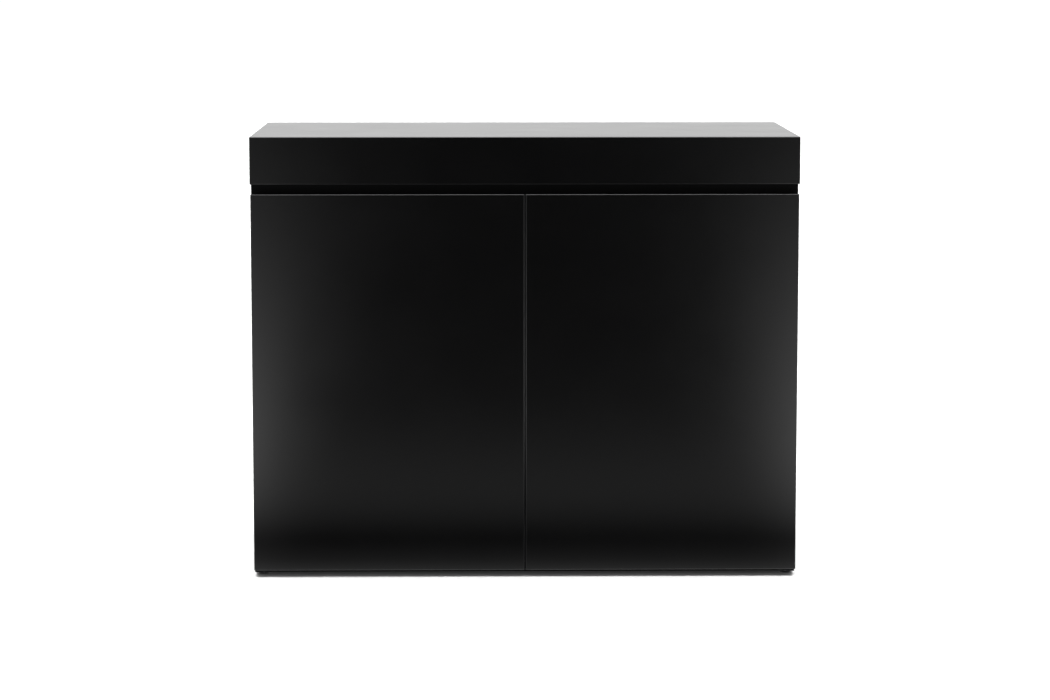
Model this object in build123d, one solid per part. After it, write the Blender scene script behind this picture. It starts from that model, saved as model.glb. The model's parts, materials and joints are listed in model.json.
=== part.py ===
from build123d import *
import os

# Aquarium stand cabinet, in millimetres. Z is up, the doors face -Y, and the origin is on the
# floor under the middle of the cabinet. Left is -X. What the left side holds is mirrored to the right.

# ---- Driving dimensions ---------------------------------------------------------------------------
WIDTH = 900.0  # the slab, side to side
DEPTH = 450.0  # the slab, front to back
HEIGHT = 730.0  # floor to deck
SLAB_H = 78.0
BOARD_T = 18.0  # every board but the back ones
BACK_T = 15.0
DOOR_T = 18.0
FINGER_GAP = 16.0  # open height between the doors and the slab
REVEAL = 1.0  # the carcass and doors stand this far inside the slab's sides and back
DOOR_GAP = 2.0  # between the two closed doors
BUMPER_GAP = 2.0  # between a closed door and the carcass's front edges
FLOOR_GAP = 5.0  # under the carcass
DOOR_FLOOR_GAP = 12.0  # under the doors
HOSE_GAP = 70.0  # open height between the back panels and the top panel
SLAB_ARRIS = 1.5
DOOR_ARRIS = 1.2
BOARD_ARRIS = 0.5
RUNNING = 0.05  # radial clearance where one piece turns in another
FITTED = 0.02  # radial clearance where a piece is fixed in a bore

# ---- Levels and planes worked out from them -------------------------------------------------------
SLAB_Z = HEIGHT - SLAB_H
FRONT = -DEPTH / 2
DOOR_BACK = FRONT + DOOR_T
CARCASS_FRONT = DOOR_BACK + BUMPER_GAP
CARCASS_BACK = DEPTH / 2 - REVEAL
CARCASS_X = WIDTH / 2 - REVEAL
BOTTOM_TOP = FLOOR_GAP + BOARD_T
TOP_BOTTOM = SLAB_Z - BOARD_T
DOOR_Z0 = DOOR_FLOOR_GAP
DOOR_Z1 = SLAB_Z - FINGER_GAP
DOOR_EDGE = -CARCASS_X  # the left door's hinge edge
SIDE_INNER = -CARCASS_X + BOARD_T  # the left side panel's inner face
BACK_FRONT = CARCASS_BACK - BACK_T

# ---- Finger bevel and bumpers ---------------------------------------------------------------------
BEVEL_H = 12.0
BEVEL_D = 8.0
BUMPER_R = 4.0
BUMPER_T = 1.9
BUMPER_X = -5.5
BUMPER_ENDS = 40.0
BUMPER_ROUND = 0.7

# ---- Slab -----------------------------------------------------------------------------------------
RIB_X = (-216.0, 0.0, 216.0)
SLAB_SCREW_Y = (-150.0, 120.0)
SLAB_SCREW_X = (-216.0, 216.0)
BACK_SCREW_X = (-330.0, -120.0, 120.0, 330.0)
SCREW_LEN = 45.0
SCREW_R = 2.2
SCREW_HEAD_R = 4.2
SCREW_HEAD_H = 3.0
CROSS_REACH = 1.8  # the cross recess in every screw
CROSS_SLOT = 0.45
SLAB_CROSS_DEPTH = 1.8

# ---- Cam fittings and dowels ----------------------------------------------------------------------
CAM_R = 7.5
CAM_DEPTH = 12.5
CAM_SETBACK = 34.0  # from the board's end to the cam's centre
CAM_Y = (-165.0, 165.0)
CAM_SUNK = 0.3  # the cam stops this far above its bore's floor
CAM_THROAT = 3.9  # half the width of the opening that takes the bolt's head
CAM_CROSS_REACH = 4.5
CAM_CROSS_SLOT = 0.8
CAM_CROSS_DEPTH = 3.0
BOLT_R = 2.5
BOLT_IN_PANEL = 11.0
BOLT_SLEEVE_R = 3.9
BOLT_SLEEVE_GAP = 0.5  # between the sleeve and the cam
BOLT_BORE_R = 4.0
BOLT_NECK_R = 2.0
BOLT_HEAD_R = 3.4
BOLT_HEAD = (-1.2, 2.2)  # the head's two ends, from the cam's centre
DOWEL_R = 4.0
DOWEL_LEN = 30.0
DOWEL_IN_PANEL = 11.0
DOWEL_Y = (-125.0, 0.0, 125.0)
BACK_DOWEL_R = 3.0
BACK_DOWEL_LEN = 20.0
BACK_DOWEL_IN_UPRIGHT = 8.0
BACK_DOWEL_Z = (110.0, 300.0, 490.0)

# ---- Levelling feet -------------------------------------------------------------------------------
FOOT_X = 435.0
FOOT_Y = 189.0
PAD_R = 9.0
PAD_H = 2.9
HEX_FLATS = 13.0
HEX_H = 1.8
STEM_R = 4.0
STEM_TOP = 20.5
SPIGOT_R = 3.0
SPIGOT_FLOOR = 1.2
INSERT_R = 6.0
INSERT_TOP = 20.0
WELL_TOP = 21.0  # the bore's blind end, over the stem
PAD_ROUND = 0.6

# ---- Concealed hinges -----------------------------------------------------------------------------
# u runs from the door's hinge edge along the door, v from the door's back face into the cabinet.
HINGE_END = 90.0  # cup centre to the door's end
CUP_U = 22.5
CUP_R = 17.5
CUP_DEPTH = 12.8
CUP_WALL = 0.95
CUP_FLOOR = 0.8
CUP_LIP = 1.2
CUP_BRIM = 1.5  # the flange overhangs the cup's bore
EAR_HALF = 6.0
EAR_ROUND = 5.0
ARM_PIVOT_OUTER = (43.85, 10.16)
CUP_PIVOT_OUTER = (12.86, -3.83)
ARM_PIVOT_INNER = (33.28, -9.0)
CUP_PIVOT_INNER = (14.4, -9.0)
OUTER_LINK_BEND = (20.5, -4.3)  # bent round the cup's rim when the door stands open
INNER_LINK_BEND = (25.7, -9.6)
NOSE_BEND = (33.4, 6.0)
# The open pivot: where the inner link's pin goes in the cup as the door opens.
OPEN_PIVOT_PATH = [(14.4, -9.0), (14.45, -7.9), (14.1, -7.6), (14.4, -8.3), (15.9, -9.15)]
OPEN_PIVOT_CLEARANCE = 0.15
PIN_R = 1.25
EYE_R = 2.4
LINK_HALF = 1.5
# Distances above and below the hinge's mid-height, from the middle outwards
INNER_Z = 3.5
ARM_Z0 = 3.7
ARM_Z1 = 5.2
OUTER_Z0 = 5.4
OUTER_Z1 = 6.8
INNER_ARM_PIN_Z = 5.3
OUTER_ARM_PIN_Z = 7.1
OUTER_PIN_Z = 5.3
CUP_POCKET_Z = 7.3
LINK_PIN_Z = 8.8
CUP_PIN_Z = 9.0
ARM_U0 = 31.0
ARM_U1 = 42.0
ARM_SHEET = 1.3
ARM_EYE_R = 2.6
ARM_FRONT = 12.0
ARM_REAR = 70.0
SIDE_U = BOARD_T
PLATE_V = 39.0  # 37 mm behind the side panel's front edge
PLATE_T = 2.4
PLATE_CORE_U = 38.0
PLATE_CORE_Z = 3.5
PLATE_BASE_Z = 8.0
PLATE_WING_V = 6.0
PLATE_WING_Z = 22.0
PLATE_CORNER = 2.5
PLATE_SCREW_Z = (-16.0, 16.0)
EURO_LEN = 12.5
EURO_R = 2.5
EURO_HEAD_R = 4.0
EURO_HEAD_H = 1.8
EURO_CROSS_DEPTH = 1.2
SIDE_CROSS_DEPTH = 1.0
CLAMP_V = 58.0
CLAMP_R = 2.5
CLAMP_HEAD_R = 4.2
CLAMP_HEAD_H = 2.4
CLAMP_REACH = 12.0
ADJUST_V = 28.0
ADJUST_R = 1.9
ADJUST_HEAD_R = 3.0
ADJUST_HEAD_H = 1.2
ADJUST_REACH = 6.0
CUP_SCREW_U = 6.0
CUP_SCREW_Z = 24.0
CUP_SCREW_LEN = 14.0
CUP_SCREW_R = 1.6
CUP_SCREW_NECK_R = 2.5
CUP_SCREW_HEAD_R = 3.4
CUP_SCREW_HEAD_H = 0.9
CUP_CROSS_DEPTH = 0.6


# ---- Shape helpers --------------------------------------------------------------------------------
def block(x0, x1, y0, y1, z0, z1):
    return Pos((x0 + x1) / 2, (y0 + y1) / 2, (z0 + z1) / 2) * Box(x1 - x0, y1 - y0, z1 - z0)


def board(x0, x1, y0, y1, z0, z1, arris=BOARD_ARRIS):
    blank = block(x0, x1, y0, y1, z0, z1)
    return fillet(blank.edges(), arris)


def rod_x(x0, x1, y, z, radius):
    return Pos((x0 + x1) / 2, y, z) * Rot(0, 90, 0) * Cylinder(radius, abs(x1 - x0))


def rod_y(y0, y1, x, z, radius):
    return Pos(x, (y0 + y1) / 2, z) * Rot(90, 0, 0) * Cylinder(radius, abs(y1 - y0))


def rod_z(z0, z1, x, y, radius):
    return Pos(x, y, (z0 + z1) / 2) * Cylinder(radius, abs(z1 - z0))


def cut(solid, tools):
    for tool in tools:
        solid = solid - tool
    return solid


def mirrored(shape):
    return mirror(shape, about=Plane.YZ)


def cross_recess(reach, slot, depth):
    """Cutter for a screwdriver's cross along Z, centred on the mouth of the recess."""
    return Box(2 * reach, 2 * slot, 2 * depth) + Box(2 * slot, 2 * reach, 2 * depth)


# ---- Top slab: a hollow box of five mitred boards on three ribs -----------------------------------
def mitre_xz(sign):
    """Side apron's section, seen from the front: its top edge is cut at 45 degrees."""
    outer = sign * WIDTH / 2
    inner = sign * (WIDTH / 2 - BOARD_T)
    points = [(outer, SLAB_Z), (outer, HEIGHT), (inner, HEIGHT - BOARD_T), (inner, SLAB_Z)]
    return extrude(Plane.XZ * Polygon(*points, align=None), DEPTH, both=True)


def mitre_yz(sign):
    """Front or back apron's section, seen from the side."""
    outer = sign * DEPTH / 2
    inner = sign * (DEPTH / 2 - BOARD_T)
    points = [(outer, SLAB_Z), (outer, HEIGHT), (inner, HEIGHT - BOARD_T), (inner, SLAB_Z)]
    return extrude(Plane.YZ * Polygon(*points, align=None), WIDTH, both=True)


def mitre_plan(across_x, sign):
    """An apron's outline seen from above, with both ends cut at 45 degrees."""
    long_x = WIDTH / 2
    long_y = DEPTH / 2
    short_x = long_x - BOARD_T
    short_y = long_y - BOARD_T
    if across_x:
        outer = [(-long_x, sign * long_y), (long_x, sign * long_y)]
        inner = [(short_x, sign * short_y), (-short_x, sign * short_y)]
    else:
        outer = [(sign * long_x, -long_y), (sign * long_x, long_y)]
        inner = [(sign * short_x, short_y), (sign * short_x, -short_y)]
    return extrude(Polygon(*outer, *inner, align=None), HEIGHT, both=True)


def deck_wedges():
    """The deck's two sections: wide at the top face, narrower by a board each side below."""
    wedges = []
    for plane, half, reach in ((Plane.XZ, WIDTH / 2, DEPTH), (Plane.YZ, DEPTH / 2, WIDTH)):
        top = [(-half, HEIGHT), (half, HEIGHT)]
        bottom = [(half - BOARD_T, HEIGHT - BOARD_T), (BOARD_T - half, HEIGHT - BOARD_T)]
        wedges.append(extrude(plane * Polygon(*top, *bottom, align=None), reach, both=True))
    return wedges


def slab_screw_sites():
    ribs = [(x, y) for x in SLAB_SCREW_X for y in SLAB_SCREW_Y]
    back = [(x, DEPTH / 2 - BOARD_T / 2) for x in BACK_SCREW_X]
    return ribs + back


def slab_screw(x, y, clearance=0.0):
    head = Pos(x, y, TOP_BOTTOM + SCREW_HEAD_H / 2) * Cone(
        SCREW_HEAD_R + clearance, SCREW_R + clearance, SCREW_HEAD_H
    )
    return head + rod_z(TOP_BOTTOM, TOP_BOTTOM + SCREW_LEN, x, y, SCREW_R + clearance)


def make_slab():
    blank = board(-WIDTH / 2, WIDTH / 2, -DEPTH / 2, DEPTH / 2, SLAB_Z, HEIGHT, SLAB_ARRIS)
    screws = [slab_screw(x, y, FITTED) for x, y in slab_screw_sites()]
    across, along = deck_wedges()
    pieces = {
        "deck_panel": blank & across & along,
        "front_apron": blank & mitre_yz(-1) & mitre_plan(True, -1),
        "back_apron": cut(blank & mitre_yz(1) & mitre_plan(True, 1), screws),
        "left_apron": blank & mitre_xz(-1) & mitre_plan(False, -1),
        "right_apron": blank & mitre_xz(1) & mitre_plan(False, 1),
    }
    inner_y = DEPTH / 2 - BOARD_T
    for name, x in zip(("left", "centre", "right"), RIB_X):
        rib = block(x - BOARD_T / 2, x + BOARD_T / 2, -inner_y, inner_y, SLAB_Z, HEIGHT - BOARD_T)
        near = [slab_screw(sx, sy, FITTED) for sx, sy in slab_screw_sites() if sx == x]
        pieces["deck_rib_" + name] = cut(rib, near)
    return pieces


# ---- Carcass --------------------------------------------------------------------------------------
# Each upright is (its mid-plane x, the face its cams are let into, the way into the board from there).
UPRIGHTS = (
    (SIDE_INNER - BOARD_T / 2, SIDE_INNER, -1),
    (0.0, BOARD_T / 2, -1),
    (-SIDE_INNER + BOARD_T / 2, -SIDE_INNER, 1),
)
# Each joint level is (the horizontal board's face, the way up or down into the upright).
JOINTS = ((BOTTOM_TOP, 1), (TOP_BOTTOM, -1))


def cam_sites(upright):
    return [(upright, y, level, way) for y in CAM_Y for level, way in JOINTS]


def cam_bore(site):
    (_, face, inward), y, level, way = site
    return rod_x(face, face + inward * CAM_DEPTH, y, level + way * CAM_SETBACK, CAM_R + FITTED)


def cam_lock(site):
    (mid, face, inward), y, level, way = site
    z = level + way * CAM_SETBACK
    half = CAM_THROAT
    low, high = sorted((z - way * CAM_R, z + way * half))
    body = rod_x(face, face + inward * (CAM_DEPTH - CAM_SUNK), y, z, CAM_R)
    throat = block(mid - half, mid + half, y - half, y + half, low, high)
    cross = cross_recess(CAM_CROSS_REACH, CAM_CROSS_SLOT, CAM_CROSS_DEPTH)
    return cut(body, [throat, Pos(face, y, z) * Rot(0, 90, 0) * cross])


def cam_bolt(site, clearance=0.0):
    (mid, _, _), y, level, way = site
    z = level + way * CAM_SETBACK
    thread = rod_z(level - way * BOLT_IN_PANEL, level, mid, y, BOLT_R + clearance)
    if clearance:
        return thread + rod_z(level, z, mid, y, BOLT_BORE_R)
    sleeve = rod_z(level, z - way * (CAM_R + BOLT_SLEEVE_GAP), mid, y, BOLT_SLEEVE_R)
    neck = rod_z(level, z, mid, y, BOLT_NECK_R)
    head = rod_z(z + way * BOLT_HEAD[0], z + way * BOLT_HEAD[1], mid, y, BOLT_HEAD_R)
    return thread + sleeve + neck + head


def dowel(upright, y, level, way, clearance=0.0):
    low = level - way * (DOWEL_IN_PANEL + clearance)
    high = level + way * (DOWEL_LEN - DOWEL_IN_PANEL + clearance)
    return rod_z(low, high, upright[0], y, DOWEL_R + clearance)


def dowel_sites(upright):
    return [(upright, y, level, way) for y in DOWEL_Y for level, way in JOINTS]


def back_dowel(face, way, z, clearance=0.0):
    """A dowel across the joint between an upright's face and a back panel's edge."""
    x0 = face - way * (BACK_DOWEL_IN_UPRIGHT + clearance)
    x1 = face + way * (BACK_DOWEL_LEN - BACK_DOWEL_IN_UPRIGHT + clearance)
    return rod_x(x0, x1, CARCASS_BACK - BACK_T / 2, z, BACK_DOWEL_R + clearance)


def back_dowels(faces, clearance=0.0):
    return [back_dowel(face, way, z, clearance) for face, way in faces for z in BACK_DOWEL_Z]


LEFT_BAY = ((SIDE_INNER, 1), (-BOARD_T / 2, -1))
RIGHT_BAY = ((BOARD_T / 2, 1), (-SIDE_INNER, -1))


def upright_bores(upright):
    bores = [cam_bore(site) for site in cam_sites(upright)]
    bores += [cam_bolt(site, FITTED) for site in cam_sites(upright)]
    bores += [dowel(*site, FITTED) for site in dowel_sites(upright)]
    return bores


def panel_bores(level):
    """What the uprights' bolts and dowels need in the board at one joint level."""
    bores = []
    for upright in UPRIGHTS:
        bores += [cam_bolt(site, FITTED) for site in cam_sites(upright) if site[2] == level]
        bores += [dowel(*site, FITTED) for site in dowel_sites(upright) if site[2] == level]
    return bores


def foot_sites():
    return {
        "front_left": (-FOOT_X, -FOOT_Y),
        "front_right": (FOOT_X, -FOOT_Y),
        "rear_left": (-FOOT_X, FOOT_Y),
        "rear_right": (FOOT_X, FOOT_Y),
    }


def make_carcass():
    x = CARCASS_X
    front, back = CARCASS_FRONT, CARCASS_BACK
    bottom = board(-x, x, front, back, FLOOR_GAP, BOTTOM_TOP)
    wells = [rod_z(FLOOR_GAP, WELL_TOP, fx, fy, INSERT_R + FITTED) for fx, fy in foot_sites().values()]
    top = board(-x, x, front, back, TOP_BOTTOM, SLAB_Z)
    screws = [slab_screw(sx, sy, FITTED) for sx, sy in slab_screw_sites()]
    left = board(-x, SIDE_INNER, front, back, BOTTOM_TOP, TOP_BOTTOM)
    left = cut(left, upright_bores(UPRIGHTS[0]) + back_dowels(LEFT_BAY[:1], FITTED) + plate_screw_bores())
    divider = board(-BOARD_T / 2, BOARD_T / 2, front, back, BOTTOM_TOP, TOP_BOTTOM)
    divider_dowels = back_dowels((LEFT_BAY[1], RIGHT_BAY[0]), FITTED)
    left_back = board(SIDE_INNER, -BOARD_T / 2, BACK_FRONT, CARCASS_BACK, BOTTOM_TOP, TOP_BOTTOM - HOSE_GAP)
    left_back = cut(left_back, back_dowels(LEFT_BAY, FITTED))
    return {
        "bottom_panel": cut(bottom, panel_bores(BOTTOM_TOP) + wells),
        "top_panel": cut(top, panel_bores(TOP_BOTTOM) + screws),
        "left_side_panel": left,
        "right_side_panel": mirrored(left),
        "centre_divider": cut(divider, upright_bores(UPRIGHTS[1]) + divider_dowels),
        "left_back_panel": left_back,
        "right_back_panel": mirrored(left_back),
    }


def make_fixings():
    cams = [site for upright in UPRIGHTS for site in cam_sites(upright)]
    dowels = [dowel(*site) for upright in UPRIGHTS for site in dowel_sites(upright)]
    dowels += back_dowels(LEFT_BAY + RIGHT_BAY)
    return {
        "cam_locks": Compound(children=[cam_lock(site) for site in cams]),
        "cam_bolts": Compound(children=[cam_bolt(site) for site in cams]),
        "wood_dowels": Compound(children=dowels),
        "slab_screws": Compound(children=[driven(slab_screw(x, y), x, y) for x, y in slab_screw_sites()]),
    }


def driven(screw, x, y):
    """Cuts the cross recess into a slab screw's head."""
    return screw - Pos(x, y, TOP_BOTTOM) * cross_recess(CROSS_REACH, CROSS_SLOT, SLAB_CROSS_DEPTH)


# ---- Concealed hinges -----------------------------------------------------------------------------
# A plan point (u, v) sits at x = DOOR_EDGE + u, y = DOOR_BACK + v.
def plan(point):
    return DOOR_EDGE + point[0], DOOR_BACK + point[1]


def layers(outline, z0, z1, height):
    """The same plan outline above and below the hinge's mid-height, between two distances from it."""
    slice_up = extrude(outline, z1 - z0, dir=(0, 0, 1))
    return Pos(0, 0, height + z0) * slice_up + Pos(0, 0, height - z1) * slice_up


def disc(point, radius):
    x, y = plan(point)
    return Pos(x, y) * Circle(radius)


def strap(points, half_width):
    """A bent bar seen in plan: straight runs of one width, rounded at every point."""
    outline = disc(points[0], half_width)
    for start, end in zip(points, points[1:]):
        (x0, y0), (x1, y1) = plan(start), plan(end)
        run = Vector(x1 - x0, y1 - y0)
        turn = run.get_signed_angle(Vector(1, 0), Vector(0, 0, -1))
        bar = Pos((x0 + x1) / 2, (y0 + y1) / 2) * Rot(0, 0, turn) * Rectangle(run.length, 2 * half_width)
        outline = outline + bar + disc(end, half_width)
    return outline


def pin(point, z0, z1, height, radius=PIN_R):
    x, y = plan(point)
    return rod_z(height + z0, height + z1, x, y, radius)


def outer_link(height):
    """A pair of bent plates that straddle the arm's nose."""
    arm, cup = ARM_PIVOT_OUTER, CUP_PIVOT_OUTER
    outline = strap([cup, OUTER_LINK_BEND, arm], LINK_HALF) + disc(cup, EYE_R) + disc(arm, EYE_R)
    plates = layers(outline, OUTER_Z0, OUTER_Z1, height)
    return cut(plates, [pin(pivot, -OUTER_Z1, OUTER_Z1, height, PIN_R + RUNNING) for pivot in (arm, cup)])


def inner_link(height):
    arm, cup = ARM_PIVOT_INNER, CUP_PIVOT_INNER
    outline = strap([cup, INNER_LINK_BEND, arm], LINK_HALF) + disc(cup, EYE_R) + disc(arm, EYE_R)
    link = Pos(0, 0, height - INNER_Z) * extrude(outline, 2 * INNER_Z)
    link = link - pin(arm, -INNER_Z, INNER_Z, height, PIN_R + RUNNING)
    return link - pin(cup, -INNER_Z, INNER_Z, height, PIN_R + FITTED)


def hinge_arm(height):
    front, rear = ARM_FRONT, ARM_REAR
    nose = strap([ARM_PIVOT_INNER, NOSE_BEND, ARM_PIVOT_OUTER], ARM_EYE_R)
    corners = [(ARM_U0, front), (ARM_U0, rear), (ARM_U1, rear), (ARM_U1, front)]
    flank = Polygon(*[plan(corner) for corner in corners], align=None)
    shoulder = [(ARM_U1 - ARM_EYE_R, front + ARM_EYE_R), (ARM_U0 + ARM_EYE_R, front)]
    lug = Polygon(*[plan(point) for point in [NOSE_BEND, ARM_PIVOT_OUTER] + shoulder], align=None)
    cheeks = layers(nose + flank + lug, ARM_Z0, ARM_Z1, height)
    (x0, y0), (x1, y1) = plan((ARM_U1 - ARM_SHEET, front + ARM_EYE_R)), plan((ARM_U1, rear))
    web = block(x0, x1, y0, y1, height - ARM_Z1, height + ARM_Z1)
    arm = cheeks + web
    for pivot in (ARM_PIVOT_OUTER, ARM_PIVOT_INNER):
        arm = arm - pin(pivot, -ARM_Z1, ARM_Z1, height, PIN_R + FITTED)
    for v, radius in ((CLAMP_V, CLAMP_R), (ADJUST_V, ADJUST_R)):
        arm = arm - rod_x(x0 - 1, x1 + 1, DOOR_BACK + v, height, radius + FITTED)
    return arm


def hinge_plate(height):
    """The winged mounting plate, with the block that the arm straddles."""
    x_face, y_mid = plan((SIDE_U, PLATE_V))
    x_top = x_face + PLATE_T
    x_core = DOOR_EDGE + PLATE_CORE_U
    y_front = y_mid - PLATE_WING_V
    y_rear = DOOR_BACK + ARM_REAR
    base = block(x_face, x_top, y_front, y_rear, height - PLATE_BASE_Z, height + PLATE_BASE_Z)
    wings = block(x_face, x_top, y_front, y_mid + PLATE_WING_V, height - PLATE_WING_Z, height + PLATE_WING_Z)
    base = fillet((base + wings).edges().filter_by(Axis.X), PLATE_CORNER)
    core = block(x_face, x_core, y_front + 1, y_rear - 1, height - PLATE_CORE_Z, height + PLATE_CORE_Z)
    plate = cut(base + core, [plate_screw(z, height, FITTED) for z in PLATE_SCREW_Z])
    return plate - rod_x(x_top, DOOR_EDGE + ARM_U1, DOOR_BACK + CLAMP_V, height, CLAMP_R + FITTED)


def plate_screw(offset, height, clearance=0.0):
    x_face, y = plan((SIDE_U, PLATE_V))
    x_top = x_face + PLATE_T
    z = height + offset
    shank = rod_x(x_face - EURO_LEN, x_top, y, z, EURO_R + clearance)
    head = Cone(EURO_R + clearance, EURO_HEAD_R + clearance, EURO_HEAD_H)
    screw = shank + Pos(x_top - EURO_HEAD_H / 2, y, z) * Rot(0, 90, 0) * head
    if clearance:
        return screw
    return screw - Pos(x_top, y, z) * Rot(0, 90, 0) * cross_recess(CROSS_REACH, CROSS_SLOT, EURO_CROSS_DEPTH)


def plate_screw_bores():
    return [plate_screw(z, height, FITTED) for height in hinge_heights() for z in PLATE_SCREW_Z]


def side_screw(v, height, radius, head_r, head_h, reach):
    """A screw through the arm's web, with a cross recess: the clamp and the side adjuster."""
    y = DOOR_BACK + v
    x_web = DOOR_EDGE + ARM_U1
    x_top = x_web + head_h
    shank = rod_x(x_web - reach, x_web, y, height, radius)
    head = rod_x(x_web, x_top, y, height, head_r)
    cross = cross_recess(CROSS_REACH, CROSS_SLOT, SIDE_CROSS_DEPTH)
    return shank + head - Pos(x_top, y, height) * Rot(0, 90, 0) * cross


def cup_screw_sites(height):
    return [(CUP_U + CUP_SCREW_U, height + way * CUP_SCREW_Z) for way in (-1, 1)]


def cup_screw(u, z, clearance=0.0):
    x = DOOR_EDGE + u
    top = DOOR_BACK + CUP_LIP
    shank = rod_y(top - CUP_SCREW_LEN, top, x, z, CUP_SCREW_R + clearance)
    head = Cone(CUP_SCREW_NECK_R + clearance, CUP_SCREW_HEAD_R + clearance, CUP_SCREW_HEAD_H)
    screw = shank + Pos(x, top - CUP_SCREW_HEAD_H / 2, z) * Rot(-90, 0, 0) * head
    if clearance:
        return screw
    return screw - Pos(x, top, z) * Rot(90, 0, 0) * cross_recess(CROSS_REACH, CROSS_SLOT, CUP_CROSS_DEPTH)


def hinge_cup(height):
    """Round cup with a flange on the door's back; thick flanks inside it hold the pins."""
    x, _ = plan((CUP_U, 0))
    ear_x = x + CUP_SCREW_U
    ear_z = CUP_SCREW_Z + EAR_HALF
    lip = DOOR_BACK + CUP_LIP
    shell = rod_y(DOOR_BACK - CUP_DEPTH, DOOR_BACK, x, height, CUP_R - FITTED)
    flange = rod_y(DOOR_BACK, lip, x, height, CUP_R + CUP_BRIM)
    ear = block(ear_x - EAR_HALF, ear_x + EAR_HALF, DOOR_BACK, lip, height - ear_z, height + ear_z)
    ear = fillet(ear.edges().filter_by(Axis.Y), EAR_ROUND)
    floor = DOOR_BACK - CUP_DEPTH + CUP_FLOOR
    hollow = rod_y(floor, lip + 1, x, height, CUP_R - CUP_WALL)
    pocket = block(x - CUP_R, x + CUP_R, floor, lip + 1, height - CUP_POCKET_Z, height + CUP_POCKET_Z)
    cup = shell + flange + ear - (hollow & pocket)
    cup = cut(cup, [cup_screw(u, z, FITTED) for u, z in cup_screw_sites(height)])
    cup = cut(cup, [pin(CUP_PIVOT_OUTER, s * CUP_PIN_Z, 0, height, PIN_R + FITTED) for s in (-1, 1)])
    return cup - layers(strap(OPEN_PIVOT_PATH, PIN_R + OPEN_PIVOT_CLEARANCE), 0, CUP_PIN_Z, height)


def arm_pins(height):
    return [
        pin(ARM_PIVOT_OUTER, -OUTER_ARM_PIN_Z, OUTER_ARM_PIN_Z, height),
        pin(ARM_PIVOT_INNER, -INNER_ARM_PIN_Z, INNER_ARM_PIN_Z, height),
    ]


def outer_cup_pins(height):
    """Two stub pins, one from each flank of the cup, so that the inner link passes between them."""
    return [pin(CUP_PIVOT_OUTER, s * OUTER_PIN_Z, s * CUP_PIN_Z, height) for s in (-1, 1)]


def hinge_heights():
    return DOOR_Z0 + HINGE_END, DOOR_Z1 - HINGE_END


def make_hinges():
    """Every piece of the left door's two hinges."""
    low, high = hinge_heights()
    pieces = {}
    for name, height in (("lower", low), ("upper", high)):
        pieces["left_" + name + "_hinge_cup"] = hinge_cup(height)
        pieces["left_" + name + "_hinge_arm"] = hinge_arm(height)
        pieces["left_" + name + "_outer_link"] = outer_link(height)
        pieces["left_" + name + "_inner_link"] = inner_link(height)
    both = (low, high)
    link_pins = [pin(CUP_PIVOT_INNER, -LINK_PIN_Z, LINK_PIN_Z, h) for h in both]
    cup_screws = [cup_screw(u, z) for h in both for u, z in cup_screw_sites(h)]
    pieces["left_hinge_plates"] = Compound(children=[hinge_plate(h) for h in both])
    pieces["left_cup_pins"] = Compound(children=[p for h in both for p in outer_cup_pins(h)])
    pieces["left_link_pins"] = Compound(children=link_pins)
    pieces["left_cup_screws"] = Compound(children=cup_screws)
    return pieces


def make_shared_hinge_hardware():
    """Pins and screws fixed to the carcass, left and right together."""
    both = hinge_heights()
    clamp = (CLAMP_R, CLAMP_HEAD_R, CLAMP_HEAD_H, CLAMP_REACH)
    adjuster = (ADJUST_R, ADJUST_HEAD_R, ADJUST_HEAD_H, ADJUST_REACH)
    groups = {
        "arm_pins": [arm_pin for h in both for arm_pin in arm_pins(h)],
        "plate_screws": [plate_screw(z, h) for h in both for z in PLATE_SCREW_Z],
        "arm_clamp_screws": [side_screw(CLAMP_V, h, *clamp) for h in both],
        "side_adjust_screws": [side_screw(ADJUST_V, h, *adjuster) for h in both],
    }
    return {name: Compound(children=left + [mirrored(s) for s in left]) for name, left in groups.items()}


# ---- Doors ----------------------------------------------------------------------------------------
def bumper(z):
    pad = rod_y(DOOR_BACK, DOOR_BACK + BUMPER_T, BUMPER_X, z, BUMPER_R)
    rim = pad.edges().filter_by(GeomType.CIRCLE).sort_by(Axis.Y)[-1]
    return fillet(rim, BUMPER_ROUND)


def make_left_door():
    section = [
        (FRONT, DOOR_Z0),
        (DOOR_BACK, DOOR_Z0),
        (DOOR_BACK, DOOR_Z1 - BEVEL_H),
        (DOOR_BACK - BEVEL_D, DOOR_Z1),
        (FRONT, DOOR_Z1),
    ]
    length = -DOOR_GAP / 2 - DOOR_EDGE
    door = Pos(DOOR_EDGE, 0, 0) * extrude(Plane.YZ * Polygon(*section, align=None), length)
    door = fillet(door.edges(), DOOR_ARRIS)
    for height in hinge_heights():
        x, _ = plan((CUP_U, 0))
        door = door - rod_y(DOOR_BACK - CUP_DEPTH, DOOR_BACK + 1, x, height, CUP_R)
        door = cut(door, [cup_screw(u, z, FITTED) for u, z in cup_screw_sites(height)])
    bumpers = Compound(children=[bumper(z) for z in (DOOR_Z0 + BUMPER_ENDS, DOOR_Z1 - BUMPER_ENDS)])
    return {"left_door": door, "left_door_bumpers": bumpers}


# ---- Feet -----------------------------------------------------------------------------------------
def foot_pad(x, y):
    pad = rod_z(0, PAD_H, x, y, PAD_R)
    pad = fillet(pad.edges().filter_by(GeomType.CIRCLE), PAD_ROUND)
    return pad - rod_z(SPIGOT_FLOOR, PAD_H + 1, x, y, SPIGOT_R + RUNNING)


def foot_stem(x, y):
    """Spigot turning in the pad, a hexagon for a spanner, and the threaded shank above it."""
    spigot = rod_z(SPIGOT_FLOOR + RUNNING, PAD_H + RUNNING, x, y, SPIGOT_R)
    outline = RegularPolygon(HEX_FLATS / 2, 6, major_radius=False)
    hexagon = Pos(x, y, PAD_H + RUNNING) * extrude(outline, HEX_H)
    shank = rod_z(PAD_H + RUNNING + HEX_H, STEM_TOP, x, y, STEM_R - RUNNING)
    return spigot + hexagon + shank


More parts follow.
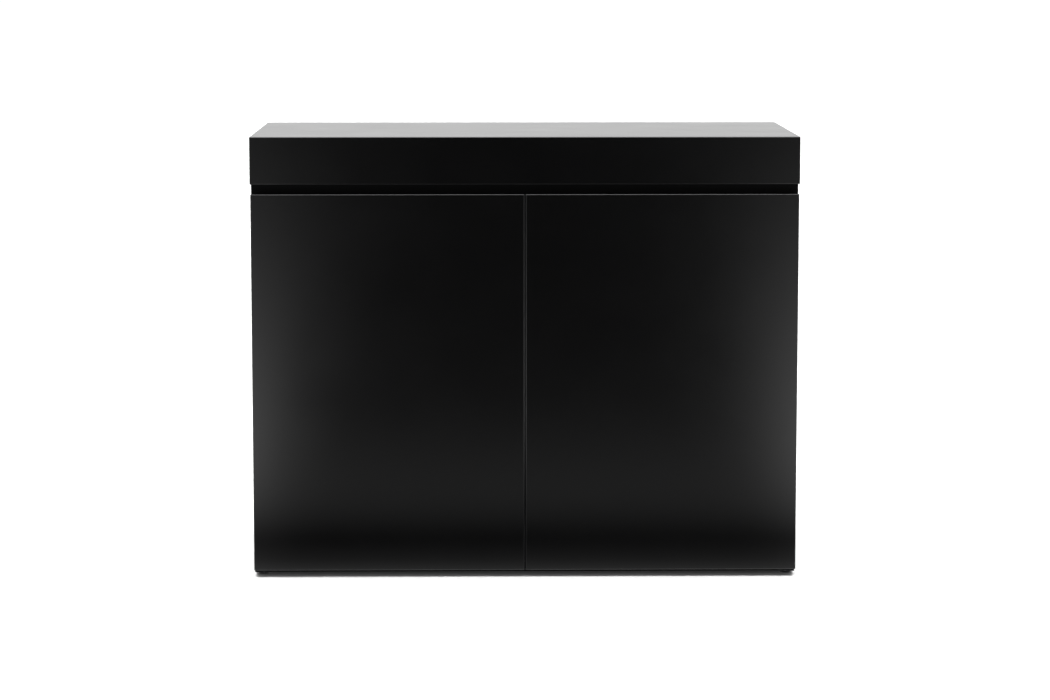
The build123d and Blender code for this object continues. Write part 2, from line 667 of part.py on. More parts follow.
def foot_insert(x, y):
    return rod_z(FLOOR_GAP, INSERT_TOP, x, y, INSERT_R) - rod_z(FLOOR_GAP, INSERT_TOP, x, y, STEM_R)


def make_feet():
    pieces = {}
    for name, (x, y) in foot_sites().items():
        pieces["foot_pad_" + name] = foot_pad(x, y)
        pieces["foot_stem_" + name] = foot_stem(x, y)
    pieces["foot_inserts"] = Compound(children=[foot_insert(x, y) for x, y in foot_sites().values()])
    return pieces


# ---- Everything -----------------------------------------------------------------------------------
def make_all():
    pieces = {**make_slab(), **make_carcass(), **make_fixings(), **make_feet()}
    pieces.update(make_shared_hinge_hardware())
    for name, shape in {**make_left_door(), **make_hinges()}.items():
        pieces[name] = shape
        pieces[name.replace("left", "right")] = mirrored(shape)
    return pieces


def main():
    os.makedirs("parts", exist_ok=True)
    for name, shape in make_all().items():
        export_step(shape, "parts/" + name + ".step")


main()
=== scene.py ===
import json
import math

import bmesh
import bpy
from mathutils import Matrix, Vector


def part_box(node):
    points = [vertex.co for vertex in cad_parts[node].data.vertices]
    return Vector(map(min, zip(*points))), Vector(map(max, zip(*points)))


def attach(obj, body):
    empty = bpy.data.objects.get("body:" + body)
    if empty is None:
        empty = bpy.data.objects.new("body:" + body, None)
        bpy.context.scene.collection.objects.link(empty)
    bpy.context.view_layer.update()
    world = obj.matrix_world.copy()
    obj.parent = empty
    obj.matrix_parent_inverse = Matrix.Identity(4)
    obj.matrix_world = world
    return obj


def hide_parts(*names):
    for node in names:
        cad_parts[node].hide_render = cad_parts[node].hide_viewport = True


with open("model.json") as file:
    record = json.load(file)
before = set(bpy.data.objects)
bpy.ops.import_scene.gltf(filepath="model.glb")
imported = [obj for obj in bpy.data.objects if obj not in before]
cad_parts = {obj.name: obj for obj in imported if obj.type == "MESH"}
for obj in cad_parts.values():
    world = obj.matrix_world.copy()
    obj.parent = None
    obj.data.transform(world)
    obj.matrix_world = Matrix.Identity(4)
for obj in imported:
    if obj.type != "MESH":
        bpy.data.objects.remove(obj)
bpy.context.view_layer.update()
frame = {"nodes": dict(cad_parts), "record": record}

MM = 0.001
DECK_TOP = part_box("deck_panel")[1]
CABINET_HALF = Vector((DECK_TOP.x, DECK_TOP.y, DECK_TOP.z / 2))
CABINET_MIDDLE = Vector((0.0, 0.0, DECK_TOP.z / 2))

# ---- Camera: in front, a little left of the middle, looking slightly down -------------------------
CAMERA_AT = (-0.071, -5.297, 1.024)
CAMERA_DOWN = 7.24  # degrees
CAMERA_RIGHT = 0.80  # degrees
CAMERA_LENS = 106.6
CAMERA_FAR = 500.0
SENSOR = 36.0

# ---- Studio ---------------------------------------------------------------------------------------
WHITE = (1.0, 1.0, 1.0, 1.0)
FLOOR_REACH = 40.0
FLOOR_PALE = (0.56, 0.56, 0.56)
SURROUND_R = 45.0
SURROUND_LEVEL = 1.05
SUN_STRENGTH = 9.0
SUN_SPREAD = 70.0  # degrees
SOFTBOX_W = 20.0
SOFTBOX_AT = (1.8, -3.2, 1.5)  # the right one; the left one mirrors it
SOFTBOX_AIM = (0, 0, 0.4)
SOFTBOX_SIZE = (1.2, 1.6)

# What the lacquer mirrors: a dark room with a bright back wall, and two cards that only glossy
# rays see. A heading's parts run from -1 to 1. The floor card is laid out for the camera above:
# its pools of light spread and lean as that camera's view of the floor in the doors does. All
# its levels, spans and stops were set until that view's brightness was right.
ROOM_DARK = 0.01
ROOM_BRIGHT = 0.88
CEILING_SHARE = 0.3  # the ceiling's brightness as a share of the back wall's
CEILING_FADE_Z = (0.08, 0.5)
BACK_WALL_FADE_Y = (0.2, 0.8)
BACK_WALL_FADE_Z = (-0.03, 0.03)
OVERHEAD_CARD_AT = (0.0, -5.0, 12.0)
OVERHEAD_CARD_R = 14.0
OVERHEAD_CARD_LEVEL = 4.0
FLOOR_CARD_R = 60.0
FLOOR_CARD_Z = -0.5 * MM
CARD_FAN = -CAMERA_AT[1] - DECK_TOP.y  # from the camera to the doors
CARD_DRIFT = -CAMERA_AT[0] / CARD_FAN  # the pools lean away from the side it stands on
CARD_REACH = 12.0
CARD_POOL = 2.6  # the pools' brightness
CARD_POOL_POWER = 3.8  # how steeply they rise to the sides
CARD_SIDE_X = (0.27, 0.47)
CARD_SIDE_Y = (0.05, 0.22)
# Brightness at a distance from the cabinet, as a share of CARD_REACH: off the middle of a face,
# and off its corners.
CARD_MIDDLE = [
    (0, 0.80),
    (0.012, 0.21),
    (0.029, 0.0),
    (0.06, 0.33),
    (0.08, 0.33),
    (0.17, 0.09),
    (0.35, 0.04),
    (1, 0.03),
]
CARD_CORNER = [
    (0, 0.14),
    (0.027, 0.05),
    (0.06, 0.30),
    (0.11, 0.72),
    (0.17, 0.80),
    (0.35, 0.50),
    (0.67, 0.2),
    (1, 0.1),
]

# ---- Finishes: colours are linear, noise scales are per metre -------------------------------------
LACQUER_DARK = (0.0012, 0.0012, 0.0013)
LACQUER_LIGHT = (0.0018, 0.0018, 0.0019)
ARRIS_PAINTED_HIGHLIGHT = 12.0  # how much paler the arrises are painted, a painted highlight
INSIDE_DARK = (0.030, 0.030, 0.031)
INSIDE_LIGHT = (0.052, 0.052, 0.053)
INSIDE_ROUGHNESS = 0.42
BANDING_ROUGHNESS = 0.5
BANDING_SPECULAR = 0.09
FIBRE_DARK = (0.30, 0.19, 0.11)
FIBRE_LIGHT = (0.52, 0.37, 0.23)
FIBRE_DUST = (0.42, 0.31, 0.20)
BEECH_DARK = (0.50, 0.33, 0.19)
BEECH_LIGHT = (0.72, 0.54, 0.35)
BEECH_FLECK = (0.33, 0.19, 0.10)
SILICONE_CLEAR = (0.72, 0.73, 0.72)
SILICONE_HAZE = (0.86, 0.86, 0.84)
NYLON_DARK = (0.010, 0.010, 0.011)
NYLON_LIGHT = (0.020, 0.020, 0.021)
NYLON_RIM = (0.05, 0.05, 0.05)
METAL_RUBBED = 1.15  # how much brighter plated metal is on its rubbed edges
BEVEL_SAMPLES = 4

# ---- Feet -----------------------------------------------------------------------------------------
THREAD_PITCH = 1.25 * MM
THREAD_DEPTH = 0.55 * MM
THREAD_ROWS = 8  # rings for each turn
THREAD_CREST = 3.95 * MM
STEM_COLUMNS = 48
HEXAGON_H = 1.8 * MM
HEXAGON_CHAMFER = 0.25 * MM
SPIGOT_R = 3.0 * MM
SPIGOT_CHAMFER = 0.3 * MM
TIP_H = 0.2 * MM  # the plain chamfered end above the thread
TIP_CHAMFER = 1.2 * MM
STEM_CLEAR = 0.05 * MM  # between the hexagon and the pad, and the hexagon and the thread
RISE = 0.01 * MM  # between two rings that make one flat face
THREAD_SHARP = 32  # degrees between faces that still shade as one
PAD_SHARP = 25
PAD_COLUMNS = 64
PAD_DRAWN_R = 9.0  # the pad's profile is drawn in mm at this radius
PAD_GROOVES = (3.2, 5.2, 7.2)
PAD_BORE = 3.05 * MM
PAD_BORE_CHAMFER = 0.25 * MM
PAD_FLOOR = 1.2 * MM


# ---- Shader helpers -------------------------------------------------------------------------------
def node(tree, kind, inputs=None, **props):
    """Adds a node, sets its properties, and sets or links its inputs."""
    made = tree.nodes.new(kind)
    for key, value in props.items():
        setattr(made, key, value)
    for key, value in (inputs or {}).items():
        if isinstance(value, bpy.types.NodeSocket):
            tree.links.new(value, made.inputs[key])
        else:
            made.inputs[key].default_value = value
    return made


def math_node(tree, operation, first, second=0.0, third=0.0, clamp=False):
    inputs = {0: first, 1: second, 2: third}
    return node(tree, "ShaderNodeMath", inputs, operation=operation, use_clamp=clamp).outputs[0]


def vector_node(tree, operation, first, second=(0.0, 0.0, 0.0)):
    return node(tree, "ShaderNodeVectorMath", {0: first, 1: second}, operation=operation).outputs


def ramp(tree, value, stops):
    """A grey ramp; stops are (position, level)."""
    made = node(tree, "ShaderNodeValToRGB", {"Fac": value})
    elements = made.color_ramp.elements
    while len(elements) < len(stops):
        elements.new(0.5)
    for element, (position, level) in zip(elements, stops):
        element.position = position
        element.color = (level, level, level, 1.0)
    return made.outputs["Color"]


def span(tree, value, low, high, to_low=0.0, to_high=1.0, smooth=False):
    """Maps low..high to to_low..to_high, and holds the ends."""
    limits = {"From Min": low, "From Max": high, "To Min": to_low, "To Max": to_high}
    kind = "SMOOTHSTEP" if smooth else "LINEAR"
    inputs = {"Value": value, **limits}
    return node(tree, "ShaderNodeMapRange", inputs, interpolation_type=kind).outputs["Result"]


def noise(tree, coords, scale, detail=2.0, roughness=0.5, distortion=0.0):
    inputs = {"Vector": coords, "Scale": scale, "Detail": detail}
    inputs.update({"Roughness": roughness, "Distortion": distortion})
    return node(tree, "ShaderNodeTexNoise", inputs).outputs["Fac"]


def object_coords(tree, scale=(1.0, 1.0, 1.0)):
    raw = node(tree, "ShaderNodeTexCoord").outputs["Object"]
    return node(tree, "ShaderNodeMapping", {"Vector": raw, "Scale": scale}).outputs["Vector"]


def mix_colour(tree, fac, first, second):
    made = node(tree, "ShaderNodeMix", {0: fac}, data_type="RGBA")
    for index, value in ((6, first), (7, second)):  # the sockets of a colour mix
        if isinstance(value, bpy.types.NodeSocket):
            tree.links.new(value, made.inputs[index])
        else:
            made.inputs[index].default_value = (*value, 1.0)
    return made.outputs[2]


def bump(tree, height, distance, strength, normal=None):
    inputs = {"Height": height, "Distance": distance, "Strength": strength}
    if normal is not None:
        inputs["Normal"] = normal
    return node(tree, "ShaderNodeBump", inputs).outputs["Normal"]


def rounded(tree, radius):
    inputs = {"Radius": radius}
    return node(tree, "ShaderNodeBevel", inputs, samples=BEVEL_SAMPLES).outputs["Normal"]


def edge_mask(tree, radius, low, high):
    """1 on the edges and corners of small parts, 0 on open faces."""
    soft = rounded(tree, radius)
    true = node(tree, "ShaderNodeNewGeometry").outputs["Normal"]
    return span(tree, vector_node(tree, "DOT_PRODUCT", soft, true)["Value"], high, low)


def arris_mask(tree):
    """1 on the rounded arrises of square-cut boards, 0 on their flat faces."""
    normal = node(tree, "ShaderNodeTexCoord").outputs["Normal"]
    size = vector_node(tree, "ABSOLUTE", normal)["Vector"]
    parts = node(tree, "ShaderNodeSeparateXYZ", {0: size}).outputs
    across = math_node(tree, "MAXIMUM", parts["X"], parts["Y"])
    return span(tree, math_node(tree, "MAXIMUM", across, parts["Z"]), 0.99, 0.92)


def inside_mask(tree):
    """1 on the faces that look into the cabinet, 0 on those that look out of it."""
    coords = node(tree, "ShaderNodeTexCoord").outputs
    away = vector_node(tree, "SUBTRACT", coords["Object"], CABINET_MIDDLE)["Vector"]
    away = vector_node(tree, "DIVIDE", away, CABINET_HALF)["Vector"]
    outward = vector_node(tree, "DOT_PRODUCT", away, coords["Normal"])["Value"]
    return span(tree, outward, 0.5, 0.3)


def front_mask(tree):
    """1 on the faces that look to the front."""
    normal = node(tree, "ShaderNodeTexCoord").outputs["Normal"]
    return span(tree, node(tree, "ShaderNodeSeparateXYZ", {0: normal}).outputs["Y"], -0.85, -0.95)


def material(name):
    made = bpy.data.materials.new(name)
    made.use_nodes = True
    tree = made.node_tree
    tree.nodes.clear()
    shader = node(tree, "ShaderNodeBsdfPrincipled")
    node(tree, "ShaderNodeOutputMaterial", {"Surface": shader.outputs[0]})
    return made, tree, shader


def emission(name, strength=1.0):
    made = bpy.data.materials.new(name)
    made.use_nodes = True
    tree = made.node_tree
    tree.nodes.clear()
    glow = node(tree, "ShaderNodeEmission", {"Color": WHITE, "Strength": strength})
    node(tree, "ShaderNodeOutputMaterial", {"Surface": glow.outputs[0]})
    return made, tree, glow


def set_inputs(tree, shader, **values):
    for key, value in values.items():
        socket = shader.inputs[key.replace("_", " ")]
        if isinstance(value, bpy.types.NodeSocket):
            tree.links.new(value, socket)
        elif isinstance(value, tuple):
            socket.default_value = (*value, 1.0)
        else:
            socket.default_value = value


# ---- Materials ------------------------------------------------------------------------------------
def lacquer(name, roughness, specular, peel, carcass=False):
    """Sprayed black lacquer: orange peel, faint wipe marks, and arrises painted paler as a painted
    highlight.

    A carcass board has duller banding on its front edges, and a paler, matter coat on its
    inside faces.
    """
    made, tree, shader = material(name)
    coords = object_coords(tree)
    cloud = noise(tree, coords, scale=9.0, detail=4.0, roughness=0.55)
    grain = noise(tree, coords, scale=2400.0, detail=1.0)
    wipes = noise(tree, coords, scale=3.1, distortion=1.2)
    base = mix_colour(tree, cloud, LACQUER_DARK, LACQUER_LIGHT)
    if carcass:
        inside = inside_mask(tree)
        coat = mix_colour(tree, grain, INSIDE_DARK, INSIDE_LIGHT)
        base = mix_colour(tree, inside, base, coat)
        outside = span(tree, inside, 1.0, 0.0)
        banding = math_node(tree, "MULTIPLY", front_mask(tree), outside)
        roughness = span(tree, inside, 0.0, 1.0, roughness, INSIDE_ROUGHNESS)
        roughness = span(tree, banding, 0.0, 1.0, roughness, BANDING_ROUGHNESS)
        specular = span(tree, banding, 0.0, 1.0, specular, BANDING_SPECULAR)
    # Paler colour on the arrises: a painted highlight along every rounded edge.
    edge_wear_and_highlight = tuple(ARRIS_PAINTED_HIGHLIGHT * channel for channel in LACQUER_LIGHT)
    base_with_painted_highlight = mix_colour(tree, arris_mask(tree), base, edge_wear_and_highlight)
    for change in (
        span(tree, cloud, 0.3, 0.7, to_low=-0.01, to_high=0.01),
        span(tree, wipes, 0.35, 0.75, to_low=-0.004, to_high=0.006),
        span(tree, grain, 0.2, 0.8, to_low=-0.02, to_high=0.02),
    ):
        roughness = math_node(tree, "ADD", change, roughness)
    orange_peel = noise(tree, coords, scale=430.0, roughness=0.45)
    surface = bump(tree, orange_peel, distance=peel, strength=0.35)
    set_inputs(
        tree,
        shader,
        Base_Color=base_with_painted_highlight,
        Roughness=roughness,
        Specular_IOR_Level=specular,
        Normal=bump(tree, grain, distance=0.004 * MM, strength=0.3, normal=surface),
    )
    return made


def raw_board(name):
    """Cut edge and face of fibreboard."""
    made, tree, shader = material(name)
    coords = object_coords(tree)
    along = object_coords(tree, (1.0, 0.18, 1.0))
    fibres = noise(tree, along, scale=900.0, detail=3.0, roughness=0.7)
    cloud = noise(tree, coords, scale=24.0, detail=3.0)
    base = mix_colour(tree, fibres, FIBRE_DARK, FIBRE_LIGHT)
    base = mix_colour(tree, math_node(tree, "MULTIPLY", cloud, 0.35), base, FIBRE_DUST)
    surface = bump(tree, fibres, distance=0.12 * MM, strength=0.6)
    set_inputs(tree, shader, Base_Color=base, Roughness=0.86, Normal=surface)
    return made


def beech(name):
    """Turned beech: straight grain along the dowel, and the short dark flecks of the wood."""
    made, tree, shader = material(name)
    along = object_coords(tree, (1.0, 1.0, 0.08))
    grain = noise(tree, along, scale=700.0, detail=4.0, roughness=0.65, distortion=0.3)
    short = {"Vector": object_coords(tree, (1.0, 1.0, 0.2)), "Scale": 1400.0}
    flecks = node(tree, "ShaderNodeTexVoronoi", short, feature="F1").outputs["Distance"]
    base = mix_colour(tree, grain, BEECH_DARK, BEECH_LIGHT)
    fleck = span(tree, flecks, 0.08, 0.18, to_low=0.5, to_high=0.0)
    base = mix_colour(tree, fleck, base, BEECH_FLECK)
    surface = bump(tree, grain, distance=0.1 * MM, strength=0.5)
    set_inputs(tree, shader, Base_Color=base, Roughness=0.6, Normal=surface)
    return made


def silicone(name):
    """Clear silicone, a little hazy."""
    made, tree, shader = material(name)
    coords = object_coords(tree)
    haze = noise(tree, coords, scale=900.0, detail=3.0)
    skin = noise(tree, coords, scale=2200.0, detail=1.0)
    set_inputs(
        tree,
        shader,
        Base_Color=mix_colour(tree, haze, SILICONE_CLEAR, SILICONE_HAZE),
        Roughness=span(tree, haze, 0.2, 0.8, to_low=0.22, to_high=0.42),
        Transmission_Weight=0.75,
        IOR=1.41,
        Normal=bump(tree, skin, distance=0.02 * MM, strength=0.3),
    )
    return made


def nylon(name):
    """Moulded black nylon: spark-eroded grain, a little paler on its rims."""
    made, tree, shader = material(name)
    coords = object_coords(tree)
    grain = noise(tree, coords, scale=3200.0, roughness=0.6)
    edges = edge_mask(tree, 0.5 * MM, 0.8, 0.98)
    base = mix_colour(tree, grain, NYLON_DARK, NYLON_LIGHT)
    base = mix_colour(tree, math_node(tree, "MULTIPLY", edges, 0.5), base, NYLON_RIM)
    soft = rounded(tree, 0.25 * MM)
    set_inputs(
        tree,
        shader,
        Base_Color=base,
        Roughness=span(tree, grain, 0.2, 0.8, to_low=0.48, to_high=0.66),
        Normal=bump(tree, grain, distance=0.03 * MM, strength=0.5, normal=soft),
    )
    return made


def plated(name, pale, deep, roughness, brush, spots, radius):
    """Plated metal: brushed or cast grain, cloudy plating, rounded edges rubbed bright."""
    made, tree, shader = material(name)
    coords = object_coords(tree)
    streaks = noise(tree, object_coords(tree, brush), scale=900.0, detail=3.0, roughness=0.6)
    cloud = noise(tree, coords, scale=130.0, detail=3.0, roughness=0.6)
    pits = noise(tree, coords, scale=spots, roughness=0.7)
    edges = math_node(tree, "MULTIPLY", edge_mask(tree, radius, 0.8, 0.98), 0.6)
    base = mix_colour(tree, cloud, deep, pale)
    edge_wear_and_highlight = tuple(min(METAL_RUBBED * channel, 1.0) for channel in pale)
    brushed = span(tree, streaks, 0.25, 0.75, roughness - 0.06, roughness + 0.08)
    dulled = span(tree, cloud, 0.3, 0.7, to_low=-0.03, to_high=0.05)
    shallow = math_node(tree, "MULTIPLY", pits, 0.4)
    height = math_node(tree, "MULTIPLY_ADD", streaks, 0.6, shallow)
    soft = rounded(tree, radius)
    set_inputs(
        tree,
        shader,
        Base_Color=mix_colour(tree, edges, base, edge_wear_and_highlight),
        Metallic=1.0,
        Roughness=math_node(tree, "ADD", brushed, dulled),
        Normal=bump(tree, height, distance=0.02 * MM, strength=0.4, normal=soft),
    )
    return made


MATERIALS = {
    "slab_lacquer": lacquer("slab_lacquer", roughness=0.16, specular=0.5, peel=0.01 * MM),
    "door_lacquer": lacquer("door_lacquer", roughness=0.16, specular=0.5, peel=0.01 * MM),
    "carcass_lacquer": lacquer(
        "carcass_lacquer", roughness=0.20, specular=0.5, peel=0.02 * MM, carcass=True
    ),
    "raw_board": raw_board("raw_board"),
    "beech": beech("beech"),
    "clear_silicone": silicone("clear_silicone"),
    "black_nylon": nylon("black_nylon"),
    "zinc_steel": plated(
        "zinc_steel",
        pale=(0.66, 0.68, 0.69),
        deep=(0.50, 0.52, 0.55),
        roughness=0.33,
        brush=(1.0, 1.0, 0.06),
        spots=2600.0,
        radius=0.15 * MM,
    ),
    "zinc_die_cast": plated(
        "zinc_die_cast",
        pale=(0.52, 0.52, 0.53),
        deep=(0.38, 0.38, 0.40),
        roughness=0.46,
        brush=(1.0, 1.0, 1.0),
        spots=3400.0,
        radius=0.3 * MM,
    ),
    "nickel_steel": plated(
        "nickel_steel",
        pale=(0.74, 0.71, 0.66),
        deep=(0.58, 0.55, 0.50),
        roughness=0.24,
        brush=(0.08, 1.0, 1.0),
        spots=2400.0,
        radius=0.25 * MM,
    ),
}


# ---- Mesh helpers ---------------------------------------------------------------------------------
SLOT_OF = {row["node"]: row["material_slot"] for row in frame["record"]["subparts"]}
BODY_OF = {n: b for b, ns in frame["record"]["behaviour"]["bodies"].items() for n in ns}


def dress(obj, slot):
    obj.data.materials.clear()
    obj.data.materials.append(MATERIALS[slot])


def piece(name, bm, node_name, sharp):
    """Makes bm the visible stand-in for a CAD node, on the same body, in the same finish."""
    mesh = bpy.data.meshes.new(name)
    bmesh.ops.recalc_face_normals(bm, faces=bm.faces[:])
    bm.to_mesh(mesh)
    bm.free()
    mesh.shade_smooth()
    mesh.set_sharp_from_angle(angle=math.radians(sharp))
    made = bpy.data.objects.new(name, mesh)
    bpy.context.scene.collection.objects.link(made)
    dress(made, SLOT_OF[node_name])
    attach(made, BODY_OF[node_name])
    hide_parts(node_name)


def turned_solid(centre, rings, columns):
    """A closed solid of stacked rings; each ring is (z, radius at an angle)."""
    bm = bmesh.new()
    rows = []
    for z, radius in rings:
        row = []
        for column in range(columns):
            angle = 2 * math.pi * column / columns
            x = centre.x + radius(angle) * math.cos(angle)
            y = centre.y + radius(angle) * math.sin(angle)
            row.append(bm.verts.new((x, y, z)))
        rows.append(row)
    for low, high in zip(rows, rows[1:]):
        for column in range(columns):
            after = (column + 1) % columns
            bm.faces.new((low[column], low[after], high[after], high[column]))
    bm.faces.new(rows[0][::-1])
    bm.faces.new(rows[-1])
    return bm


def round_ring(z, radius):
    return z, lambda angle: radius


def hexagon_ring(z, apothem, cap):
    """A hexagon with its corners turned off at the radius cap."""

    def radius(angle):
        off = (angle + math.pi / 6) % (math.pi / 3) - math.pi / 6
        return min(apothem / math.cos(off), cap)

    return z, radius


def thread_ring(z, start, end):
    """One slice through a right-hand thread, its crests run out at both ends."""
    ease = min(1.0, (z - start) / THREAD_PITCH, (end - z) / THREAD_PITCH)

    def radius(angle):
        turn = (z / THREAD_PITCH - angle / (2 * math.pi)) % 1.0
        tooth = min(1.0, max(0.0, 2.4 * abs(2 * turn - 1) - 0.7))  # flat crest, flat root
        return THREAD_CREST - THREAD_DEPTH * (1 - tooth * max(ease, 0.0))

    return z, radius


def foot_stem(name):
    """Spigot, chamfered hexagon and M8 thread."""
    low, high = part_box(name)
    pad_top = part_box(name.replace("stem", "pad"))[1].z
    apothem = min(high.x - low.x, high.y - low.y) / 2
    corner = apothem / math.cos(math.pi / 6)
    chamfer = HEXAGON_CHAMFER
    hex_z0 = pad_top + STEM_CLEAR
    hex_z1 = hex_z0 + HEXAGON_H
    root = THREAD_CREST - THREAD_DEPTH
    rings = [
        round_ring(low.z, SPIGOT_R - SPIGOT_CHAMFER),
        round_ring(low.z + SPIGOT_CHAMFER, SPIGOT_R),
        round_ring(hex_z0, SPIGOT_R),
        hexagon_ring(hex_z0 + RISE, apothem - 2 * chamfer, apothem - 2 * chamfer),
        hexagon_ring(hex_z0 + chamfer, apothem, corner - chamfer),
        hexagon_ring(hex_z1 - 2 * chamfer, apothem, corner - chamfer / 2),
        hexagon_ring(hex_z1, apothem - chamfer, apothem - chamfer / 2),
        round_ring(hex_z1 + RISE, root),
    ]
    step = THREAD_PITCH / THREAD_ROWS
    start, end = hex_z1 + STEM_CLEAR, high.z - 1.5 * TIP_H
    count = int((end - start) / step)
    rings += [thread_ring(start + step * i, start, end) for i in range(count + 1)]
    rings += [round_ring(high.z - TIP_H, root), round_ring(high.z, THREAD_CREST - TIP_CHAMFER)]
    solid = turned_solid((low + high) / 2, rings, STEM_COLUMNS)
    piece("threaded_" + name, solid, name, sharp=THREAD_SHARP)


def foot_pad(name):
    """Moulded pad: grip grooves below, a rounded rim, and a raised collar round the socket."""
    low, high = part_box(name)
    scale = (high.x - low.x) / 2 / (PAD_DRAWN_R * MM)
    profile = [(2.0, 0.0)]
    for groove in PAD_GROOVES:
        profile += [(groove - 0.35, 0.0), (groove - 0.25, 0.25)]
        profile += [(groove + 0.25, 0.25), (groove + 0.35, 0.0)]
    profile += [(8.3, 0.0), (8.7, 0.12), (8.9, 0.35), (9.0, 0.7)]
    profile += [(9.0, 1.5), (8.88, 1.85), (8.6, 2.05)]
    profile += [(6.4, 2.2), (6.1, 2.35), (5.9, 2.7), (5.6, 2.9), (3.3, 2.9)]
    rings = [round_ring(low.z + z * MM, r * MM * scale) for r, z in profile]
    rings.append(round_ring(high.z - PAD_BORE_CHAMFER, PAD_BORE))
    rings.append(round_ring(low.z + PAD_FLOOR, PAD_BORE))
    solid = turned_solid((low + high) / 2, rings, PAD_COLUMNS)
    piece("moulded_" + name, solid, name, sharp=PAD_SHARP)


for foot in ("front_left", "front_right", "rear_left", "rear_right"):
    foot_stem("foot_stem_" + foot)
    foot_pad("foot_pad_" + foot)

for name, obj in frame["nodes"].items():
    dress(obj, SLOT_OF[name])


# ---- Studio: pale floor, white surround, soft light -----------------------------------------------
def stage_object(name, bm, finish, seen_by):
    """A floor, card or surround that is seen only by the kinds of ray in seen_by."""
    mesh = bpy.data.meshes.new(name)
    bm.to_mesh(mesh)
    bm.free()
    made = bpy.data.objects.new(name, mesh)
    bpy.context.scene.collection.objects.link(made)
    for ray in ("camera", "diffuse", "glossy", "transmission", "shadow"):
        setattr(made, "visible_" + ray, ray in seen_by)
    made.data.materials.append(finish)


def disc_mesh(radius, at):
    bm = bmesh.new()
    place = Matrix.Translation(at)
    bmesh.ops.create_circle(bm, cap_ends=True, radius=radius, segments=64, matrix=place)
    return bm


def floor_material():
    made, tree, shader = material("floor")
    set_inputs(tree, shader, Base_Color=FLOOR_PALE, Roughness=0.9, Specular_IOR_Level=0.0)
    return made


def floor_card_material():
    """What the lacquer mirrors of the floor: pools of light off the corners, dim close in."""
    made, tree, glow = emission("floor_card")
    at = node(tree, "ShaderNodeTexCoord").outputs["Object"]
    split = node(tree, "ShaderNodeSeparateXYZ", {0: at}).outputs
    across = math_node(tree, "ABSOLUTE", split["X"])
    along = math_node(tree, "ABSOLUTE", split["Y"])
    out_x = math_node(tree, "MAXIMUM", math_node(tree, "SUBTRACT", across, DECK_TOP.x), 0.0)
    out_y = math_node(tree, "MAXIMUM", math_node(tree, "SUBTRACT", along, DECK_TOP.y), 0.0)
    square_y = math_node(tree, "MULTIPLY", out_y, out_y)
    away = math_node(tree, "SQRT", math_node(tree, "MULTIPLY_ADD", out_x, out_x, square_y))
    fan = math_node(tree, "MULTIPLY_ADD", away, 1 / CARD_FAN, 1.0)
    drift = math_node(tree, "MULTIPLY", away, CARD_DRIFT)
    aside = math_node(tree, "ABSOLUTE", math_node(tree, "SUBTRACT", split["X"], drift))
    side_x = span(tree, math_node(tree, "DIVIDE", aside, fan), *CARD_SIDE_X)
    side_y = span(tree, math_node(tree, "DIVIDE", along, fan), *CARD_SIDE_Y)
    steep = math_node(tree, "POWER", side_x, CARD_POOL_POWER)
    pools = math_node(tree, "MULTIPLY", steep, side_y)
    reach = math_node(tree, "DIVIDE", away, CARD_REACH, clamp=True)
    corner = math_node(tree, "MULTIPLY", ramp(tree, reach, CARD_CORNER), pools)
    middle = ramp(tree, reach, CARD_MIDDLE)
    level = math_node(tree, "MULTIPLY_ADD", corner, CARD_POOL, middle)
    set_inputs(tree, glow, Strength=level)
    return made


surround_mesh = bmesh.new()
bmesh.ops.create_uvsphere(surround_mesh, u_segments=48, v_segments=24, radius=SURROUND_R)
surround_glow = emission("surround", SURROUND_LEVEL)[0]
overhead_glow = emission("overhead_card", OVERHEAD_CARD_LEVEL)[0]
floor_mesh = disc_mesh(FLOOR_REACH, (0.0, 0.0, 0.0))
floor_card_mesh = disc_mesh(FLOOR_CARD_R, (0.0, 0.0, FLOOR_CARD_Z))
overhead_mesh = disc_mesh(OVERHEAD_CARD_R, OVERHEAD_CARD_AT)
stage_object("floor", floor_mesh, floor_material(), ("camera", "transmission", "shadow"))
stage_object("floor_card", floor_card_mesh, floor_card_material(), ("glossy",))
stage_object("overhead_card", overhead_mesh, overhead_glow, ("glossy",))
stage_object("surround", surround_mesh, surround_glow, ("camera",))

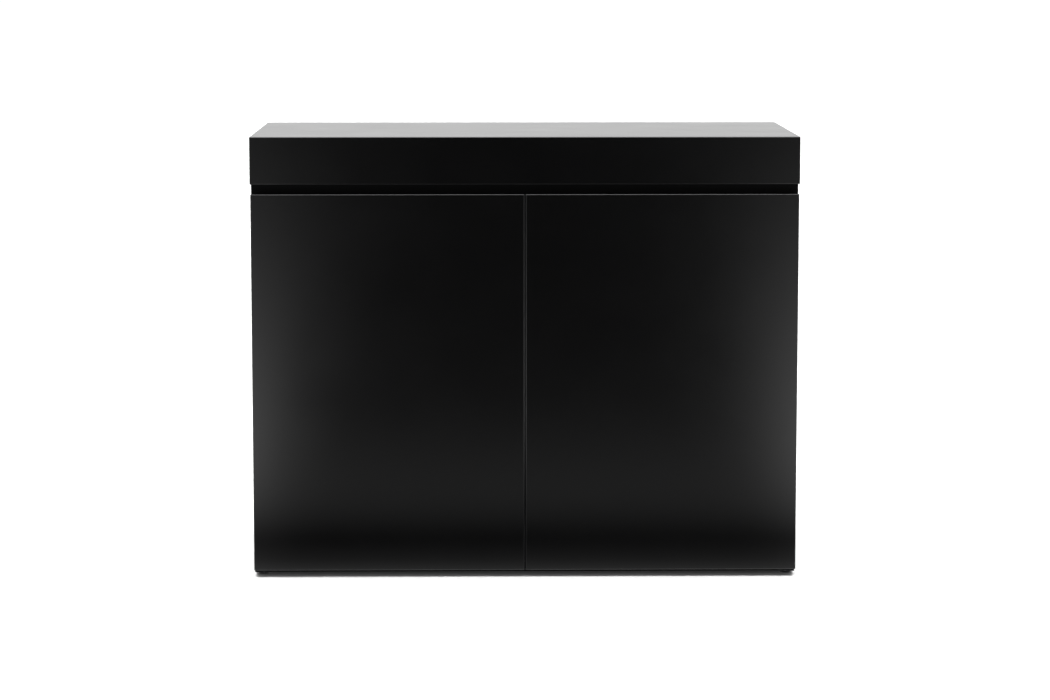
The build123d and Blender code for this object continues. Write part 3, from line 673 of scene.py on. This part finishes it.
world = bpy.data.worlds.new("studio")
bpy.context.scene.world = world
world.use_nodes = True
sky = world.node_tree
sky.nodes.clear()
direction = node(sky, "ShaderNodeTexCoord").outputs["Generated"]
heading = node(sky, "ShaderNodeSeparateXYZ", {0: direction}).outputs
ceiling = span(sky, heading["Z"], *CEILING_FADE_Z, to_high=CEILING_SHARE, smooth=True)
rearward = span(sky, heading["Y"], *BACK_WALL_FADE_Y, smooth=True)
above_floor = span(sky, heading["Z"], *BACK_WALL_FADE_Z, smooth=True)
back_wall = math_node(sky, "MULTIPLY", rearward, above_floor)
brightest = math_node(sky, "MAXIMUM", ceiling, back_wall)
sky_level = span(sky, brightest, 0.0, 1.0, ROOM_DARK, ROOM_BRIGHT)
background = node(sky, "ShaderNodeBackground", {"Color": WHITE, "Strength": sky_level})
node(sky, "ShaderNodeOutputWorld", {"Surface": background.outputs[0]})


def light(name, kind, at, towards, energy, **props):
    """A light that the lacquer doesn't mirror."""
    data = bpy.data.lights.new(name, kind)
    data.energy = energy
    for key, value in props.items():
        setattr(data, key, value)
    made = bpy.data.objects.new(name, data)
    bpy.context.scene.collection.objects.link(made)
    made.location = at
    made.rotation_euler = (Vector(towards) - Vector(at)).to_track_quat("-Z", "Y").to_euler()
    made.visible_glossy = False


spread = math.radians(SUN_SPREAD)
light("overhead", "SUN", (0, 0, 5), (0, 0, 0), SUN_STRENGTH, angle=spread)
softbox_shape = {"shape": "RECTANGLE", "size": SOFTBOX_SIZE[0], "size_y": SOFTBOX_SIZE[1]}
for side, way in (("left", -1), ("right", 1)):
    softbox_at = (way * SOFTBOX_AT[0], *SOFTBOX_AT[1:])
    light("softbox_" + side, "AREA", softbox_at, SOFTBOX_AIM, SOFTBOX_W, **softbox_shape)

# ---- Camera ---------------------------------------------------------------------------------------
lens = bpy.data.cameras.new("camera")
lens.lens = CAMERA_LENS
lens.sensor_width = SENSOR
lens.clip_end = CAMERA_FAR
camera = bpy.data.objects.new("camera", lens)
bpy.context.scene.collection.objects.link(camera)
camera.location = CAMERA_AT
camera.rotation_euler = (math.radians(90 - CAMERA_DOWN), 0.0, math.radians(-CAMERA_RIGHT))
bpy.context.scene.camera = camera
bpy.context.scene.view_settings.view_transform = "Standard"
